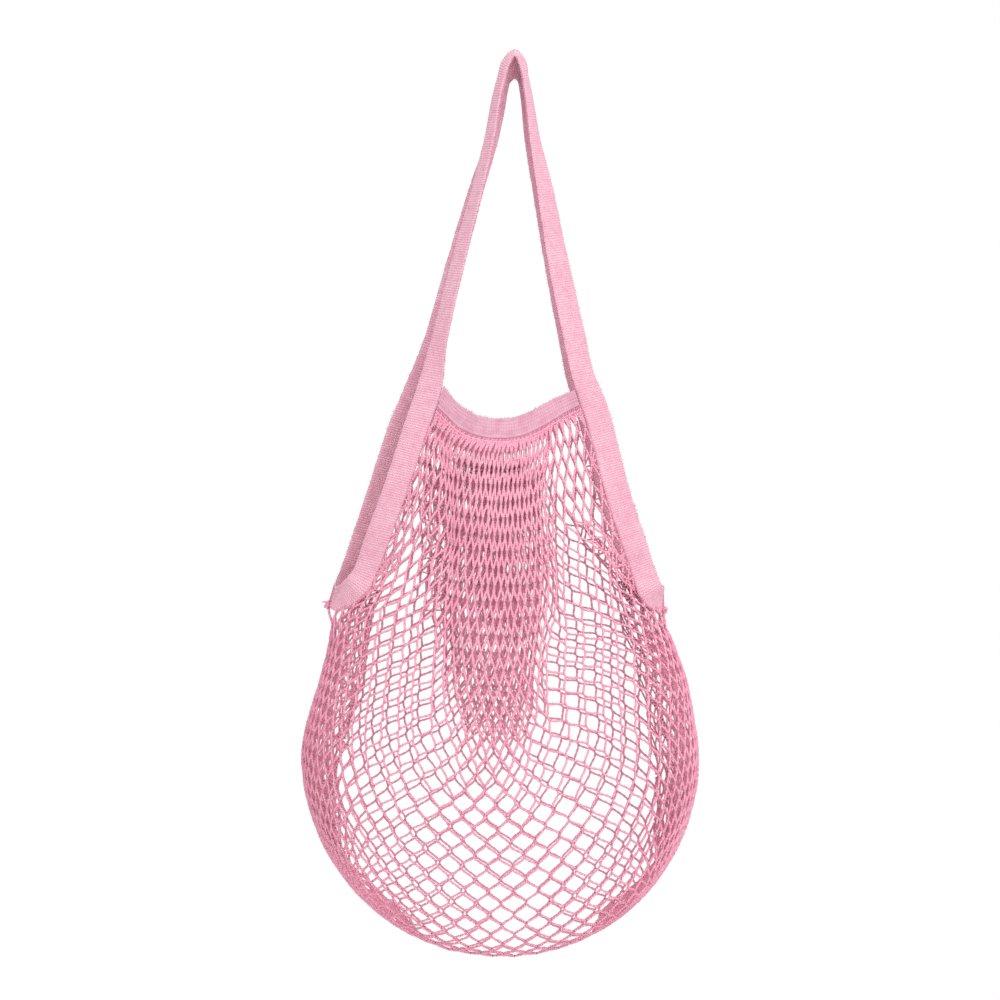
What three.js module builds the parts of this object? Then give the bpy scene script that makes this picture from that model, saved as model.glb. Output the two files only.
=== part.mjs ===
// String shopping bag: an open net sack with two long knitted handles, hanging
// by both handles from one point, filled out round.
// Millimetres, +Z up, -Y is the front. The origin is the hang point: the
// underside of the two handles where they are hung. Everything lies below it.
import * as THREE from 'three';

// ---------------------------------------------------------------- sizes ----
const NET_WALL = 2.0;          // thickness that the knotted net fills
const TAPE_WIDTH = 23;         // knitted rib tape of straps, pulled long by the load
const TAPE_THICK = 2.4;
const BAND_THICK = 2.3;        // rim bands
const JOINT_GAP = 1.2;         // from a tape's edge to the piece sewn beside it
const VEE_GAP = 3.6;           // more than that where the edge turns round the side vees
const BELLY_Z = -621.2;        // level of the widest section
const BELLY_HALF_WIDTH = 175.8;
const BELLY_HALF_DEPTH = 118;
const BELLY_DROP = 178;        // from the widest section down to the lowest point
const BELLY_CENTRE_X = -13.3;
const BOTTOM_CENTRE_X = -11.2;
const BACK_WIDEN = 0.45;       // the back panel is wider by this share of its shift

const PINK_NET = { color: 0xe58fb1, roughness: 0.95, metalness: 0 };
const PINK_TAPE = { color: 0xf2adc6, roughness: 0.92, metalness: 0 };

// Net sack above its widest level, one row per level.
// columns: level z, centre x, half width, half depth, shift of the back panel
// to -x, leanness (0.5 is a round section, more draws its two ends to an edge)
const BODY_LEVELS = [
  [-287.5,  -5.3,  99.0,  27.0, 8.5, 0.50],
  [-314.2,  -6.2, 100.5,  33.0, 8.5, 0.52],
  [-340.9,  -6.2, 104.0,  40.0, 8.5, 0.55],
  [-376.5,  -7.1, 115.0,  51.0, 8.5, 0.62],
  [-412.1,  -8.0, 124.0,  62.0, 8.0, 0.70],
  [-438.8,  -9.3, 129.0,  70.0, 7.5, 0.74],
  [-461.0, -10.7, 132.5,  76.5, 6.0, 0.77],
  [-476.2, -12.5, 137.0,  82.0, 3.0, 0.76],
  [-490.4, -15.0, 146.5,  87.0, 1.0, 0.72],
  [-505.5, -14.5, 148.5,  92.0, 0.0, 0.66],
  [-518.9, -12.5, 152.2,  97.0, 0.0, 0.61],
  [-536.7, -11.1, 157.5, 102.0, 0.0, 0.57],
  [-558.9, -10.7, 163.8, 107.5, 0.0, 0.53],
  [-590.1, -12.5, 171.3, 113.5, 0.0, 0.50],
  [BELLY_Z, BELLY_CENTRE_X, BELLY_HALF_WIDTH, BELLY_HALF_DEPTH, 0.0, 0.50],
];

// Upright fold in the front panel. columns: level z, x of the fold, depth
const FOLD = [
  [-335, -62, 0],
  [-365, -60, 3.5],
  [-420, -58, 6],
  [-490, -56, 6],
  [-545, -50, 3],
  [-590, -44, 0],
];
const FOLD_HALF_WIDTH = 9;

// Straps, one row per section, from the left vee up over the hang point and
// down to the right vee. The inner edge carries the net or faces into the
// handle's loop, the outer edge faces away.
// columns: inner edge x, z; outer edge x, z; rule; a; b; tape width there
//   SET   edges at a and b before the middle plane (inner, outer)
//   BODY  inner edge on the sack, outer edge leaning back by a of the width
//   FREE  centre at a before the middle plane, turned so that its front view fits
const SET = 0, BODY = 1, FREE = 2;
const FRONT_STRAP = [
  [-165.1, -488.6, -159.3, -469.0, SET,   0.3,   0.3, 23],
  [-157.5, -492.2, -158.4, -470.8, SET,  12.0,   9.0, 23],
  [-145.1, -488.6, -154.9, -469.0, SET,  23.0,  17.0, 23],
  [-131.7, -478.8, -150.4, -462.8, SET,  31.0,  24.0, 23],
  [-121.0, -462.8, -144.2, -454.8, BODY,  0.36, 0,    23],
  [-111.3, -437.0, -135.3, -430.8, BODY,  0.33, 0,    23],
  [ -92.6, -380.9, -113.9, -375.6, BODY,  0.28, 0,    23],
  [ -74.8, -324.0,  -94.3, -319.5, BODY,  0.24, 0,    23],
  [ -67.6, -301.7,  -86.3, -298.2, BODY,  0.20, 0,    23],
  [ -60.5, -259.9,  -75.7, -256.3, FREE, 19.5,  0,    23],
  [ -43.6, -182.5,  -56.1, -179.8, FREE, 16.5,  0,    23],
  [ -25.8, -109.5,  -35.6, -107.7, FREE, 13.0,  0,    21.5],
  [ -18.2,  -74.8,  -26.7,  -73.0, FREE, 10.8,  0,    20],
  [ -11.6,  -32.9,  -18.2,  -30.3, FREE,  8.3,  0,    16.5],
  [  -8.5,  -20.5,  -14.7,  -17.4, FREE,  7.6,  0,    15],
  [  -5.6,  -10.0,  -10.9,   -4.2, SET,  13.1,  1.6,  14],
  [   0.0,   -1.2,    0.0,    5.6, SET,  12.6,  1.6,  13],
  [   4.2,   -9.2,    8.7,   -3.3, SET,  13.3,  1.4,  14],
  [   6.7,  -19.6,   10.7,  -16.0, FREE,  7.6,  0,    15],
  [   8.5,  -32.9,   13.8,  -30.3, FREE,  8.3,  0,    16.5],
  [  12.9,  -74.8,   21.8,  -73.0, FREE, 10.8,  0,    20],
  [  17.8, -110.4,   31.2, -107.7, FREE, 13.0,  0,    21.5],
  [  28.5, -181.6,   46.3, -178.0, FREE, 16.5,  0,    23],
  [  42.7, -252.8,   62.3, -249.2, FREE, 19.3,  0,    23],
  [  50.7, -288.4,   70.3, -283.9, FREE, 20.6,  0,    23],
  [  58.7, -309.7,   78.3, -304.4, BODY,  0.20, 0,    23],
  [  65.9, -334.6,   85.9, -329.3, BODY,  0.24, 0,    23],
  [  78.3, -388.0,  100.1, -381.8, BODY,  0.28, 0,    23],
  [  94.3, -437.9,  116.1, -430.8, BODY,  0.33, 0,    23],
  [ 101.5, -462.8,  125.0, -453.9, BODY,  0.36, 0,    23],
  [ 108.6, -478.8,  129.1, -467.3, SET,  31.0,  24.0, 23],
  [ 116.6, -488.6,  131.3, -471.7, SET,  23.0,  17.0, 23],
  [ 124.6, -493.5,  131.7, -472.6, SET,  12.0,   9.0, 23],
  [ 131.3, -493.1,  130.4, -471.7, SET,   0.3,   0.3, 23],
];
const BACK_STRAP = [
  [-165.1, -488.6, -159.3, -469.0, SET,   0.3,   0.3, 23],
  [-158.9, -491.3, -160.2, -469.9, SET,  12.0,   9.0, 23],
  [-150.4, -486.8, -160.2, -467.3, SET,  23.0,  17.0, 23],
  [-139.7, -474.4, -158.9, -460.1, SET,  31.0,  24.0, 23],
  [-130.8, -453.9, -154.9, -446.8, BODY,  0.36, 0,    23],
  [-121.0, -425.4, -145.1, -419.2, BODY,  0.33, 0,    23],
  [-105.9, -377.4, -129.1, -372.0, BODY,  0.28, 0,    23],
  [ -88.1, -324.0, -109.9, -318.6, BODY,  0.24, 0,    23],
  [ -79.2, -301.7,  -99.7, -296.4, BODY,  0.20, 0,    23],
  [ -67.6, -262.5,  -84.5, -259.0, FREE, 19.5,  0,    23],
  [ -46.3, -184.2,  -61.0, -181.6, FREE, 16.5,  0,    23],
  [ -26.7, -111.2,  -38.3, -109.0, FREE, 13.0,  0,    21.5],
  [ -16.5,  -75.7,  -25.4,  -73.9, FREE, 10.8,  0,    20],
  [  -9.2,  -42.0,  -15.7,  -30.9, SET,  15.3,  1.9,  18.5],
  [  -7.2,  -29.9,  -10.6,  -13.7, SET,  13.7,  2.5,  20],
  [  -4.1,  -20.4,   -5.7,   -1.9, SET,  12.2,  2.5,  21],
  [   0.0,  -17.5,    0.0,    2.6, SET,  11.5,  2.2,  22],
  [   2.7,  -19.9,    4.4,   -1.4, SET,  12.2,  2.5,  21],
  [   5.1,  -29.6,    8.7,  -13.2, SET,  13.5,  2.7,  20],
  [   6.6,  -41.9,   12.5,  -30.2, SET,  15.1,  2.1,  18.5],
  [   9.8,  -75.7,   19.1,  -73.9, FREE, 10.8,  0,    20],
  [  15.1, -110.4,   27.6, -107.7, FREE, 13.0,  0,    21.5],
  [  26.7, -181.6,   42.3, -178.4, FREE, 16.5,  0,    23],
  [  40.0, -252.8,   58.7, -249.2, FREE, 19.3,  0,    23],
  [  47.2, -288.4,   66.8, -283.9, FREE, 20.6,  0,    23],
  [  54.3, -309.7,   73.9, -304.4, BODY,  0.20, 0,    23],
  [  61.4, -334.6,   81.4, -329.3, BODY,  0.24, 0,    23],
  [  73.9, -388.0,   95.7, -381.8, BODY,  0.28, 0,    23],
  [  90.8, -437.9,  112.1, -430.8, BODY,  0.33, 0,    23],
  [  98.8, -462.8,  121.9, -453.9, BODY,  0.36, 0,    23],
  [ 106.8, -478.8,  127.3, -467.3, SET,  31.0,  24.0, 23],
  [ 115.7, -488.6,  130.4, -471.7, SET,  23.0,  17.0, 23],
  [ 124.6, -493.5,  131.7, -472.6, SET,  12.0,   9.0, 23],
  [ 131.3, -493.1,  130.4, -471.7, SET,   0.3,   0.3, 23],
];

// Rim bands between the two runs of a strap; their ends follow the strap's edge.
// columns: top edge x, z; bottom edge x, z
const FRONT_RIM = [
  [-52.1, -307.1, -59.2, -322.2],
  [-42.7, -314.6, -48.1, -332.0],
  [-30.3, -320.8, -33.8, -338.2],
  [-15.1, -322.6, -15.1, -340.9],
  [  0.0, -321.7,   1.8, -339.5],
  [ 13.4, -316.4,  17.8, -333.3],
  [ 25.8, -309.7,  31.2, -325.7],
  [ 36.5, -303.9,  42.7, -318.6],
];
const FRONT_RIM_ENDS = { leftTop: -293.5, leftBottom: -313.0, rightTop: -297.0, rightBottom: -310.5 };
const BACK_RIM = [
  [-61.4, -310.6, -68.5, -325.7],
  [-49.8, -318.2, -56.1, -335.6],
  [-36.5, -324.4, -40.9, -341.8],
  [-20.5, -326.6, -20.5, -344.4],
  [ -5.3, -325.3,  -3.6, -343.1],
  [  8.0, -320.0,  12.5, -336.9],
  [ 20.5, -313.3,  25.8, -329.3],
  [ 31.2, -307.5,  37.4, -322.2],
];
const BACK_RIM_ENDS = { leftTop: -297.0, leftBottom: -316.6, rightTop: -300.5, rightBottom: -314.1 };

// mesh steps
const STRAP_STEP = 15;         // longest step along a strap
const EDGE_COLUMNS = 11;       // net columns along one strap's edge
const RIM_COLUMNS = 14;        // net columns along a rim band
const UPPER_ROWS = 12;         // net rows from the mouth to the widest level
const LOWER_ROWS = 11;         // net rows from there to the lowest point
const EVEN_ROWS = 9;           // rows that even themselves out beside the side vees
const EVEN_PASSES = 14;        // smoothing passes beside the side vees

// ------------------------------------------------------------- functions ----
// smooth curve through table rows; key(row) rises or falls steadily
function smooth(rows, column, z) {
  const last = rows.length - 1;
  const slope = (a, b) => (rows[b][column] - rows[a][column]) / (rows[b][0] - rows[a][0]);
  if (z >= rows[0][0]) return rows[0][column] + slope(0, 1) * (z - rows[0][0]);
  if (z <= rows[last][0]) return rows[last][column];
  let i = 0;
  while (rows[i + 1][0] > z) i += 1;
  const m0 = i === 0 ? slope(0, 1) : slope(i - 1, i + 1);
  const m1 = i + 1 === last ? 0 : slope(i, i + 2);
  const h = rows[i + 1][0] - rows[i][0], t = (z - rows[i][0]) / h;
  return (2 * t ** 3 - 3 * t ** 2 + 1) * rows[i][column] + (t ** 3 - 2 * t ** 2 + t) * h * m0
    + (-2 * t ** 3 + 3 * t ** 2) * rows[i + 1][column] + (t ** 3 - t ** 2) * h * m1;
}

// section of one panel's surface at a level; side is -1 in front, +1 at the back
function section(side, z) {
  if (z < BELLY_Z) {
    const drop = Math.min(1, (BELLY_Z - z) / BELLY_DROP), share = Math.sqrt(Math.max(0, 1 - drop * drop));
    return { x: BELLY_CENTRE_X + (BOTTOM_CENTRE_X - BELLY_CENTRE_X) * drop, w: BELLY_HALF_WIDTH * share, d: BELLY_HALF_DEPTH * share, lean: 0.5 };
  }
  const shift = side > 0 ? smooth(BODY_LEVELS, 4, z) : 0;
  return { x: smooth(BODY_LEVELS, 1, z) - shift, w: smooth(BODY_LEVELS, 2, z) + BACK_WIDEN * shift, d: smooth(BODY_LEVELS, 3, z), lean: smooth(BODY_LEVELS, 5, z) };
}

function foldDepth(x, z) {
  if (z > FOLD[0][0] || z < FOLD[FOLD.length - 1][0]) return 0;
  const away = (x - smooth(FOLD, 1, z)) / FOLD_HALF_WIDTH;
  return smooth(FOLD, 2, z) * Math.exp(-away * away);
}

// depth of the sack's surface at a place in the front view
function surfaceDepth(side, x, z) {
  const s = section(side, z), u = Math.max(-1, Math.min(1, (x - s.x) / s.w));
  return s.d * (1 - u * u) ** s.lean;
}

function strapEdges(rows, side) {
  return rows.map(([xi, zi, xo, zo, rule, a, b, width]) => {
    const inner = new THREE.Vector3(xi, 0, zi), outer = new THREE.Vector3(xo, 0, zo);
    if (rule === SET) { inner.y = side * a; outer.y = side * b; }
    if (rule === BODY) {
      inner.y = side * (surfaceDepth(side, xi, zi) - 1.1);
      outer.y = inner.y - side * a * width;
    }
    if (rule === FREE) {
      const seen = Math.min(inner.distanceTo(outer), width * 0.999);
      const turn = width / 2 * Math.sqrt(1 - (seen / width) ** 2);
      inner.y = side * (a + turn);
      outer.y = side * (a - turn);
    }
    const centre = inner.clone().add(outer).multiplyScalar(0.5);
    const half = outer.clone().sub(inner).setLength(width / 2);
    return { inner: centre.clone().sub(half), outer: centre.clone().add(half) };
  });
}

// stations along a strap: smooth through the sections, by distance along the centre line
function strapStations(rows, side) {
  const edges = strapEdges(rows, side);
  const values = edges.map(({ inner, outer }) => [inner.x, inner.y, inner.z, outer.x, outer.y, outer.z]);
  const along = [0];
  for (let i = 1; i < edges.length; i += 1) {
    const a = edges[i - 1].inner.clone().add(edges[i - 1].outer), b = edges[i].inner.clone().add(edges[i].outer);
    along.push(along[i - 1] + a.distanceTo(b) / 2);
  }
  const last = edges.length - 1;
  const slope = (a, b, k) => (values[b][k] - values[a][k]) / (along[b] - along[a]);
  const tangent = (i, k) => {
    if (i === 0) return slope(0, 1, k);
    if (i === last) return slope(last - 1, last, k);
    const before = along[i] - along[i - 1], after = along[i + 1] - along[i];
    return (slope(i - 1, i, k) * after + slope(i, i + 1, k) * before) / (before + after);
  };
  const stations = [];
  for (let i = 0; i < last; i += 1) {
    const h = along[i + 1] - along[i], steps = Math.max(3, Math.ceil(h / STRAP_STEP));
    for (let j = 0; j < steps + (i === last - 1 ? 1 : 0); j += 1) {
      const t = j / steps;
      const v = values[i].map((_, k) => (2 * t ** 3 - 3 * t ** 2 + 1) * values[i][k] + (t ** 3 - 2 * t ** 2 + t) * h * tangent(i, k)
        + (-2 * t ** 3 + 3 * t ** 2) * values[i + 1][k] + (t ** 3 - t ** 2) * h * tangent(i + 1, k));
      stations.push({ inner: new THREE.Vector3(v[0], v[1], v[2]), outer: new THREE.Vector3(v[3], v[4], v[5]) });
    }
  }
  return stations;
}

// closed tape with rounded edges, swept through its stations; endWay is the
// direction in which it leaves its first end, and comes back into its last
function tapeGeometry(stations, thick, endWay = null) {
  const profile = (w, t) => [
    [-w / 2, -t / 5], [-w / 2 + t / 3, -t / 2], [w / 2 - t / 3, -t / 2], [w / 2, -t / 5],
    [w / 2, t / 5], [w / 2 - t / 3, t / 2], [-w / 2 + t / 3, t / 2], [-w / 2, t / 5],
  ];
  const centres = stations.map(({ inner, outer }) => inner.clone().add(outer).multiplyScalar(0.5));
  const points = [], faces = [];
  stations.forEach(({ inner, outer }, i) => {
    const across = outer.clone().sub(inner), width = across.length();
    across.normalize();
    const ahead = centres[Math.min(i + 1, centres.length - 1)].clone().sub(centres[Math.max(i - 1, 0)]).normalize();
    if (endWay && i === 0) ahead.copy(endWay);
    if (endWay && i === stations.length - 1) ahead.copy(endWay).negate();
    const face = across.clone().cross(ahead).normalize();
    const t = Math.min(thick * 1.25, thick * TAPE_WIDTH / Math.max(width, 1));
    for (const [u, v] of profile(width, t)) points.push(centres[i].clone().addScaledVector(across, u).addScaledVector(face, v));
  });
  const n = 8, m = stations.length;
  for (let i = 0; i < m - 1; i += 1) for (let j = 0; j < n; j += 1) {
    const a = i * n + j, b = i * n + (j + 1) % n;
    faces.push([a, b, b + n], [a, b + n, a + n]);
  }
  for (let j = 1; j < n - 1; j += 1) {
    faces.push([0, j + 1, j]);
    faces.push([(m - 1) * n, (m - 1) * n + j, (m - 1) * n + j + 1]);
  }
  return closedGeometry(points, faces);
}

// closed triangle mesh; turned so that its faces point out
function closedGeometry(points, faces) {
  let volume = 0;
  for (const [a, b, c] of faces) volume += points[a].dot(points[b].clone().cross(points[c]));
  const index = faces.flatMap(([a, b, c]) => (volume > 0 ? [a, b, c] : [a, c, b]));
  const geometry = new THREE.BufferGeometry();
  geometry.setAttribute('position', new THREE.Float32BufferAttribute(points.flatMap((p) => [p.x, p.y, p.z]), 3));
  geometry.setIndex(index);
  geometry.computeVertexNormals();
  return geometry;
}

// point beside a strap's inner edge, at a level on its left (-1) or right (+1) run
function besideStrap(stations, hand, z, gap) {
  const half = Math.floor(stations.length / 2);
  const run = hand < 0 ? stations.slice(0, half) : stations.slice(half).reverse();
  let best = 1;
  for (let i = 1; i < run.length; i += 1) {
    if (run[i - 1].inner.z <= z && run[i].inner.z >= z) { best = i; break; }
  }
  const a = run[best - 1], b = run[best];
  const t = THREE.MathUtils.clamp((z - a.inner.z) / (b.inner.z - a.inner.z), 0, 1);
  const inner = a.inner.clone().lerp(b.inner, t), outer = a.outer.clone().lerp(b.outer, t);
  return inner.clone().addScaledVector(inner.clone().sub(outer).normalize(), gap);
}

function rimStations(rows, ends, stations, side) {
  const place = (x, z) => new THREE.Vector3(x, side * (surfaceDepth(side, x, z) - 1.1), z);
  const list = rows.map(([xt, zt, xb, zb]) => {
    const low = place(xb, zb), high = place(xt, zt);
    high.y = low.y - side * 1.5;
    return { inner: low, outer: high };
  });
  list.unshift({ inner: besideStrap(stations, -1, ends.leftBottom, JOINT_GAP + 0.3), outer: besideStrap(stations, -1, ends.leftTop, JOINT_GAP + 0.3) });
  list.push({ inner: besideStrap(stations, 1, ends.rightBottom, JOINT_GAP + 0.3), outer: besideStrap(stations, 1, ends.rightTop, JOINT_GAP + 0.3) });
  const fine = [];
  const low = new THREE.CatmullRomCurve3(list.map((s) => s.inner), false, 'centripetal');
  const high = new THREE.CatmullRomCurve3(list.map((s) => s.outer), false, 'centripetal');
  const steps = (list.length - 1) * 2;
  for (let i = 0; i <= steps; i += 1) fine.push({ inner: low.getPoint(i / steps), outer: high.getPoint(i / steps) });
  return fine;
}

// points spread evenly by length along a chain of points
function spread(chain, count) {
  const along = [0];
  for (let i = 1; i < chain.length; i += 1) along.push(along[i - 1] + chain[i].distanceTo(chain[i - 1]));
  const total = along[along.length - 1], out = [];
  for (let k = 0; k <= count; k += 1) {
    const s = total * k / count;
    let i = 1;
    while (i < chain.length - 1 && along[i] < s) i += 1;
    out.push(chain[i - 1].clone().lerp(chain[i], (s - along[i - 1]) / (along[i] - along[i - 1])));
  }
  return out;
}

// edge of one panel from the left vee, along the strap, the rim band and the strap again
function panelEdge(stations, rim) {
  const beside = ({ inner, outer }) => {
    const gap = JOINT_GAP + VEE_GAP * THREE.MathUtils.smoothstep(-inner.z, 405, 455);
    return inner.clone().addScaledVector(inner.clone().sub(outer).normalize(), gap);
  };
  const rimEdge = rim.map(beside);
  const half = Math.floor(stations.length / 2);
  const clear = 3;                                   // keeps the corner clear of both tapes
  const left = stations.slice(0, half).map(beside).filter((p) => p.z < rimEdge[0].z - clear);
  const right = stations.slice(half).map(beside).filter((p) => p.z < rimEdge[rimEdge.length - 1].z - clear);
  const middle = rimEdge.slice(1, -1);
  return [
    ...spread([...left, middle[0]], EDGE_COLUMNS).slice(0, -1),
    ...spread(middle, RIM_COLUMNS),
    ...spread([middle[middle.length - 1], ...right], EDGE_COLUMNS).slice(1),
  ];
}

// hollow net sack: columns run from the mouth's edge to the lowest point
function netGeometry(frontEdge, backEdge) {
  const columns = [];
  const addPanel = (edge, side) => {
    const n = edge.length - 1;
    edge.forEach((start, i) => {
      if (side > 0 && (i === 0 || i === n)) return;   // the vees belong to the front's list
      const s0 = section(side, start.z);
      const from = Math.asin(Math.max(-1, Math.min(1, (start.x - s0.x) / s0.w)));
      const to = Math.PI * (i / n - 0.5);
      const place = (angle, z) => {
        const s = section(side, z), x = s.x + s.w * Math.sin(angle);
        const fold = side < 0 ? foldDepth(x, z) : 0;
        return new THREE.Vector3(x, side * (s.d * Math.max(0, Math.cos(angle)) ** (2 * s.lean) - fold), z);
      };
      const off = start.clone().sub(place(from, start.z));
      const column = [];
      for (let j = 0; j < UPPER_ROWS; j += 1) {
        const t = j / UPPER_ROWS, ease = t * t * (3 - 2 * t);
        const p = place(from + (to - from) * ease, start.z + (BELLY_Z - start.z) * t);
        column.push(p.addScaledVector(off, (1 - t) ** 4));
      }
      for (let j = 0; j < LOWER_ROWS; j += 1) {
        column.push(place(to, BELLY_Z - BELLY_DROP * Math.sin(Math.PI / 2 * j / LOWER_ROWS)));
      }
      columns.push({ side, i, column });
    });
  };
  addPanel(frontEdge, -1);
  addPanel(backEdge, 1);
  const front = columns.filter((c) => c.side < 0), back = columns.filter((c) => c.side > 0).reverse();
  const ring = [...front, ...back].map((c) => c.column);
  const n = ring.length, m = UPPER_ROWS + LOWER_ROWS;
  const lowest = new THREE.Vector3(BOTTOM_CENTRE_X, 0, BELLY_Z - BELLY_DROP);
  const at = (i, j) => (j >= m ? lowest : ring[(i + n) % n][j]);
  // the net evens itself out beside the vees; the mouth's edge stays put
  const half = n / 2, beside = (i) => Math.min(i % half, half - (i % half)) < EDGE_COLUMNS;
  for (let pass = 0; pass < EVEN_PASSES; pass += 1) {
    const moved = [];
    for (let i = 0; i < n; i += 1) for (let j = 1; j < EVEN_ROWS; j += 1) {
      if (!beside(i)) continue;
      const mean = at(i - 1, j).clone().add(at(i + 1, j)).add(at(i, j - 1)).add(at(i, j + 1)).multiplyScalar(0.25);
      moved.push([i, j, at(i, j).clone().lerp(mean, 0.6 * (1 - j / EVEN_ROWS))]);
    }
    for (const [i, j, p] of moved) ring[i][j].copy(p);
  }
  const points = [], faces = [];
  for (const sense of [1, -1]) {
    for (let i = 0; i < n; i += 1) for (let j = 0; j < m; j += 1) {
      const ahead = at(i + 1, j).clone().sub(at(i - 1, j));
      const down = at(i, j + 1).clone().sub(at(i, Math.max(0, j - 1)));
      const out = down.cross(ahead).normalize();
      points.push(at(i, j).clone().addScaledVector(out, sense * NET_WALL / 2));
    }
    points.push(lowest.clone().add(new THREE.Vector3(0, 0, -sense * NET_WALL / 2)));
  }
  const layer = n * m + 1;
  const id = (k, i, j) => k * layer + (j >= m ? n * m : (i % n) * m + j);
  for (let i = 0; i < n; i += 1) {
    for (let j = 0; j < m; j += 1) {
      for (const k of [0, 1]) {
        const a = id(k, i, j), b = id(k, i + 1, j), c = id(k, i + 1, j + 1), d = id(k, i, j + 1);
        const quad = j === m - 1 ? [[a, b, c]] : [[a, b, c], [a, c, d]];
        for (const f of quad) faces.push(k === 0 ? f : [f[0], f[2], f[1]]);
      }
    }
    const a = id(0, i, 0), b = id(0, i + 1, 0), c = id(1, i + 1, 0), d = id(1, i, 0);
    faces.push([a, c, b], [a, d, c]);
  }
  return closedGeometry(points, faces);
}

function piece(name, geometry, finish) {
  const mesh = new THREE.Mesh(geometry, new THREE.MeshStandardMaterial(finish));
  mesh.name = name;
  return mesh;
}

// -------------------------------------------------------------- assembly ----
const frontStations = strapStations(FRONT_STRAP, -1);
const backStations = strapStations(BACK_STRAP, 1);
const frontRim = rimStations(FRONT_RIM, FRONT_RIM_ENDS, frontStations, -1);
const backRim = rimStations(BACK_RIM, BACK_RIM_ENDS, backStations, 1);

const bag = new THREE.Group();
bag.add(piece('net_body', netGeometry(panelEdge(frontStations, frontRim), panelEdge(backStations, backRim)), PINK_NET));
bag.add(piece('front_strap', tapeGeometry(frontStations, TAPE_THICK, new THREE.Vector3(0, -1, 0)), PINK_TAPE));
bag.add(piece('back_strap', tapeGeometry(backStations, TAPE_THICK, new THREE.Vector3(0, 1, 0)), PINK_TAPE));
bag.add(piece('front_rim_band', tapeGeometry(frontRim, BAND_THICK), PINK_TAPE));
bag.add(piece('back_rim_band', tapeGeometry(backRim, BAND_THICK), PINK_TAPE));

export default bag;
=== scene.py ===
import math

import bpy
import numpy as np
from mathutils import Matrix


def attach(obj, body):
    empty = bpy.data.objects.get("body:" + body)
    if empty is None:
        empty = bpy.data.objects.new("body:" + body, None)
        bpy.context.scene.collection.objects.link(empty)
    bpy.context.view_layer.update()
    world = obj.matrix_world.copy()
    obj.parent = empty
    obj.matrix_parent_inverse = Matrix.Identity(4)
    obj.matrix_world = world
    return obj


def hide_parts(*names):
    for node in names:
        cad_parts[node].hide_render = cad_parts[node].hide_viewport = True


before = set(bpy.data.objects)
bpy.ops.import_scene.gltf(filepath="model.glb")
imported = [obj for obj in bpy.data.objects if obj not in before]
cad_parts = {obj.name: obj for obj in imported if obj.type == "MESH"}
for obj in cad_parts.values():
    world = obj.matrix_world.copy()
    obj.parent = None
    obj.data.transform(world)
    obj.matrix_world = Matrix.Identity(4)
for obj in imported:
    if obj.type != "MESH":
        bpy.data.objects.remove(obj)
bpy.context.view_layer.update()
rng = np.random.default_rng(11)

# ------------------------------------------------------------ named sizes ----
TAPE_WIDTH = 23.0
TAPE_THICK = 2.3
BAND_THICK = 2.2
JOINT_GAP = 1.2
VEE_GAP = 3.6
BELLY_Z, BELLY_DROP = -621.2, 178.0
BELLY_CENTRE_X, BOTTOM_CENTRE_X = -13.3, -11.2
BELLY_HALF_WIDTH, BELLY_HALF_DEPTH = 175.8, 118.0
BACK_WIDEN = 0.45
FOLD_HALF_WIDTH = 9.0

NET_COLUMNS = 32          # meshes across one panel
NET_ROWS = 38             # half meshes from the rim to the bottom fold
VEE_ROW = 14              # half meshes from the rim down to the side vee
LEG = 16.3                # cord between two knots
CENTRE_DRAW = 1.2         # how much shorter the loaded middle legs are
SIDE_DRAW = 3.2           # and the bunched legs under the vees
CORD_A, CORD_B = 1.22, 0.95  # half sizes of the two-ply cord's section
CORD_PITCH = 11.0
KNOT = 1.45
COURSE, WALE = 2.2, 2.875    # one knitted stitch along and across the tape
RELIEF = 0.17                # how far the courses stand out
FIBRE_STEP = 1.5             # one loose fibre about every this far along an edge
TUCK_IN, TUCK_DOWN = 6.5, 8.0   # the tucked-in spare net, behind and below the outer one

# Upright bundles that draw the net together: x at their upper and lower level,
# those levels, half width, share of the width that is drawn in
FRONT_CREASES = (
    (-61, -350, -58, -500, 13, 0.50),
    (-97, -470, -104, -690, 11, 0.45),
    (86, -400, 86, -530, 9, 0.50),
    (-15, -360, -18, -640, 60, 0.15),
)
BACK_CREASES = (
    (38, -360, 44, -520, 13, 0.50),
    (-84, -440, -96, -650, 11, 0.45),
    (88, -470, 92, -640, 11, 0.45),
    (-15, -360, -14, -620, 60, 0.15),
)

# columns: level z, centre x, half width, half depth, shift of the back panel, leanness
BODY_LEVELS = (
    (-287.5,  -5.3,  99.0,  27.0, 8.5, 0.50),
    (-314.2,  -6.2, 100.5,  33.0, 8.5, 0.52),
    (-340.9,  -6.2, 104.0,  40.0, 8.5, 0.55),
    (-376.5,  -7.1, 115.0,  51.0, 8.5, 0.62),
    (-412.1,  -8.0, 124.0,  62.0, 8.0, 0.70),
    (-438.8,  -9.3, 129.0,  70.0, 7.5, 0.74),
    (-461.0, -10.7, 132.5,  76.5, 6.0, 0.77),
    (-476.2, -12.5, 137.0,  82.0, 3.0, 0.76),
    (-490.4, -15.0, 146.5,  87.0, 1.0, 0.72),
    (-505.5, -14.5, 148.5,  92.0, 0.0, 0.66),
    (-518.9, -12.5, 152.2,  97.0, 0.0, 0.61),
    (-536.7, -11.1, 157.5, 102.0, 0.0, 0.57),
    (-558.9, -10.7, 163.8, 107.5, 0.0, 0.53),
    (-590.1, -12.5, 171.3, 113.5, 0.0, 0.50),
    (BELLY_Z, BELLY_CENTRE_X, BELLY_HALF_WIDTH, BELLY_HALF_DEPTH, 0.0, 0.50),
)
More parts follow.
